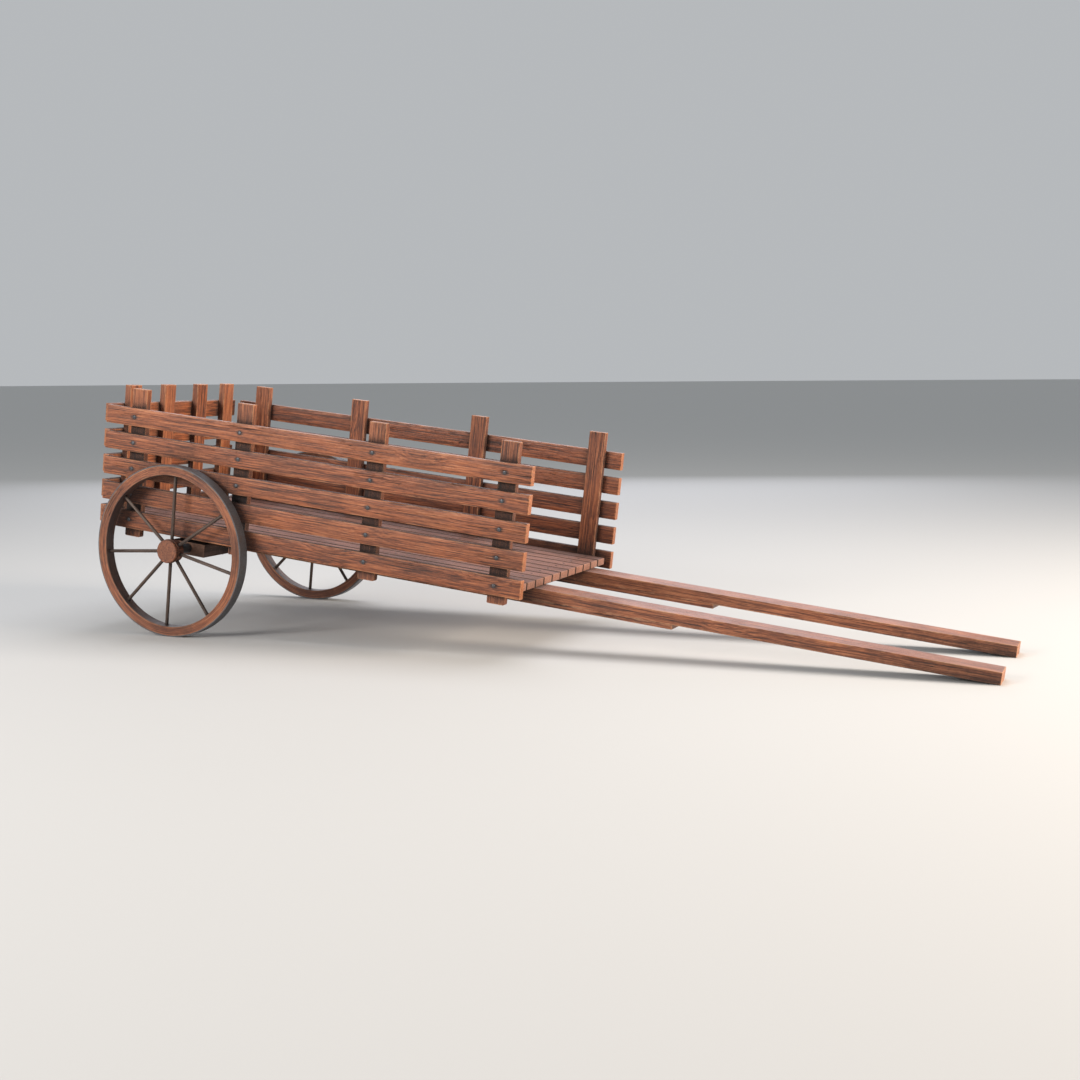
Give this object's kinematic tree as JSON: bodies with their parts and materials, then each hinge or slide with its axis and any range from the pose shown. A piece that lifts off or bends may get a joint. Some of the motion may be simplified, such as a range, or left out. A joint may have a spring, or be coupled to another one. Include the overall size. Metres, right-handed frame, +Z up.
{
  "type": "two-wheeled slatted hand cart",
  "caption": "Wooden two-wheeled cart with slatted sides and rear gate, plank floor, iron-tyred spoked wheels and two long draw shafts.",
  "frame": {"origin": "on the ground under the middle of the bounding box, the cart standing on its wheels and shaft tips", "axes": "+X forward along the shafts, +Y to the cart's left along the axle, +Z up; the cart's own long axis lies nose down by 6.64 degrees about +Y"},
  "size_m": [4.5082, 1.42, 1.2548],
  "materials": {
    "slat_board": "stained and oiled, rough sawn look, worn edges",
    "post_board": "stained and oiled, worn edges",
    "floor_board": "stained, greyed by weather and use",
    "under_timber": "stained, in shade",
    "shaft_timber": "stained and oiled",
    "bent_rim": "steam-bent, oiled",
    "spoke_wood": "greyed",
    "hub_wood": "turned, oiled",
    "tyre_iron": "dark, dull",
    "axle_iron": "dark, greased",
    "screw_steel": "galvanised, dull"
  },
  "bodies": {
    "cart": {"axle_arms": "axle_iron", "axle_beam": "under_timber", "axle_retainers": "axle_iron", "floor_bearers": "under_timber", "floor_nails": "screw_steel", "floor_plank_01": "floor_board", "floor_plank_02": "floor_board", "floor_plank_03": "floor_board", "floor_plank_04": "floor_board", "floor_plank_05": "floor_board", "floor_plank_06": "floor_board", "floor_plank_07": "floor_board", "floor_plank_08": "floor_board", "floor_plank_09": "floor_board", "floor_plank_10": "floor_board", "floor_plank_11": "floor_board", "frame_bolts": "screw_steel", "gate_post_1": "post_board", "gate_post_2": "post_board", "gate_post_3": "post_board", "gate_post_4": "post_board", "gate_slat_1": "slat_board", "gate_slat_2": "slat_board", "gate_slat_3": "slat_board", "gate_slat_4": "slat_board", "gate_slat_5": "slat_board", "left_post_1": "post_board", "left_post_2": "post_board", "left_post_3": "post_board", "left_post_4": "post_board", "left_shaft": "shaft_timber", "left_slat_1": "slat_board", "left_slat_2": "slat_board", "left_slat_3": "slat_board", "left_slat_4": "slat_board", "left_slat_5": "slat_board", "right_post_1": "post_board", "right_post_2": "post_board", "right_post_3": "post_board", "right_post_4": "post_board", "right_shaft": "shaft_timber", "right_slat_1": "slat_board", "right_slat_2": "slat_board", "right_slat_3": "slat_board", "right_slat_4": "slat_board", "right_slat_5": "slat_board", "shaft_doublers": "shaft_timber", "slat_screws": "screw_steel"},
    "right_wheel": {"right_wheel_cap": "hub_wood", "right_wheel_hub": "hub_wood", "right_wheel_rim": "bent_rim", "right_wheel_spokes": "spoke_wood", "right_wheel_tyre": "tyre_iron"},
    "left_wheel": {"left_wheel_cap": "hub_wood", "left_wheel_hub": "hub_wood", "left_wheel_rim": "bent_rim", "left_wheel_spokes": "spoke_wood", "left_wheel_tyre": "tyre_iron"}
  },
  "joints": [
    {"name": "right_wheel_spin", "type": "hinge", "parent": "cart", "child": "right_wheel", "pos_m": [-1.70885, -0.67, 0.43], "axis": [0, 1, 0], "continuous": true},
    {"name": "left_wheel_spin", "type": "hinge", "parent": "cart", "child": "left_wheel", "pos_m": [-1.70885, 0.67, 0.43], "axis": [0, 1, 0], "continuous": true}
  ]
}
